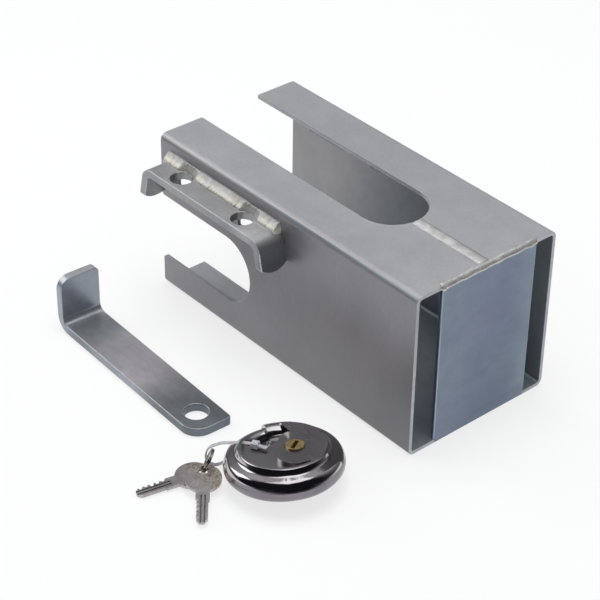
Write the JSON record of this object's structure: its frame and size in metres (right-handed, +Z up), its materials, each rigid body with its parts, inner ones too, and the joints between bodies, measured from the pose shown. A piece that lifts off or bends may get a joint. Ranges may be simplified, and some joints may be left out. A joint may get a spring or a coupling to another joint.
{
  "type": "trailer coupler lock",
  "caption": "Welded steel box that closes over a trailer coupler, with a guard bracket, a loose L-shaped locking bar and a round disc padlock with keys.",
  "frame": {"origin": "on the box's underside, on its centre line, 29 mm from the closed end and past the round end of the bottom slot", "axes": "+X along the box towards its closed end, +Y towards the plain side wall away from the guard bracket, +Z up"},
  "size_m": [0.2383, 0.2516, 0.112],
  "materials": {
    "zinc_sheet": "dull zinc-plated sheet with a faint grain",
    "zinc_plate": "bluish zinc-plated flat plate",
    "zinc_strip": "zinc-plated strip, satin",
    "weld_bead": "rough bright weld metal under zinc",
    "zinc_bar": "semi-bright zinc-plated bar",
    "stainless": "polished stainless steel",
    "shackle_steel": "polished hardened steel",
    "cast_steel": "dark cast steel",
    "brass": "plain brass",
    "plug_brass": "satin brass face",
    "pin_steel": "plain steel",
    "nylon": "translucent grey nylon",
    "key_nickel": "nickel-plated, lightly brushed",
    "ring_steel": "polished spring steel"
  },
  "bodies": {
    "box": {"box_shell": "zinc_sheet", "end_plate": "zinc_plate", "guard_bracket": "zinc_strip", "seam_weld": "weld_bead", "end_weld_top": "weld_bead", "end_weld_bottom": "weld_bead", "bracket_weld": "weld_bead"},
    "bar": {"locking_bar": "zinc_bar"},
    "padlock": {"lock_front_shell": "stainless", "lock_rear_shell": "stainless", "shackle_guide": "cast_steel", "cylinder_housing": "brass", "driver_pins": "pin_steel", "pin_springs": "pin_steel", "cable_tie": "nylon"},
    "shackle": {"shackle": "shackle_steel"},
    "plug": {"key_plug": "plug_brass", "plug_pins": "brass", "plug_driver": "cast_steel", "retaining_clip": "pin_steel"},
    "ring": {"split_ring": "ring_steel"},
    "key_1": {"key_1": "key_nickel"},
    "key_2": {"key_2": "key_nickel"}
  },
  "joints": [
    {"name": "bar_lift", "type": "slide", "parent": "box", "child": "bar", "axis": [0, 0, 1], "range_m": [0, 0.1]},
    {"name": "padlock_lift", "type": "slide", "parent": "box", "child": "padlock", "axis": [0, 0, 1], "range_m": [0, 0.1]},
    {"name": "shackle_turn", "type": "hinge", "parent": "padlock", "child": "shackle", "pos_m": [-0.00113, -0.12301, 0.01395], "axis": [-0.1386, 0.0301, 0.9899], "range_deg": [0, 90]},
    {"name": "plug_turn", "type": "hinge", "parent": "padlock", "child": "plug", "pos_m": [0.0041, -0.11881, 0.01404], "axis": [-0.1386, 0.0301, 0.9899], "range_deg": [0, 180]},
    {"name": "ring_swing", "type": "hinge", "parent": "padlock", "child": "ring", "pos_m": [-0.0359, -0.1509, 0.0072], "axis": [-0.9507, -0.3102, 0], "range_deg": [0, 12]},
    {"name": "key_1_turn", "type": "hinge", "parent": "ring", "child": "key_1", "pos_m": [-0.0296, -0.1586, 0.006], "axis": [0, 0, 1], "range_deg": [0, 6]},
    {"name": "key_2_turn", "type": "hinge", "parent": "ring", "child": "key_2", "pos_m": [-0.0318, -0.1573, 0.0033], "axis": [0, 0, 1], "range_deg": [-12, 0]}
  ],
  "couplings": [
    {"joint": "plug_turn", "follows": "shackle_turn", "ratio": 2}
  ]
}
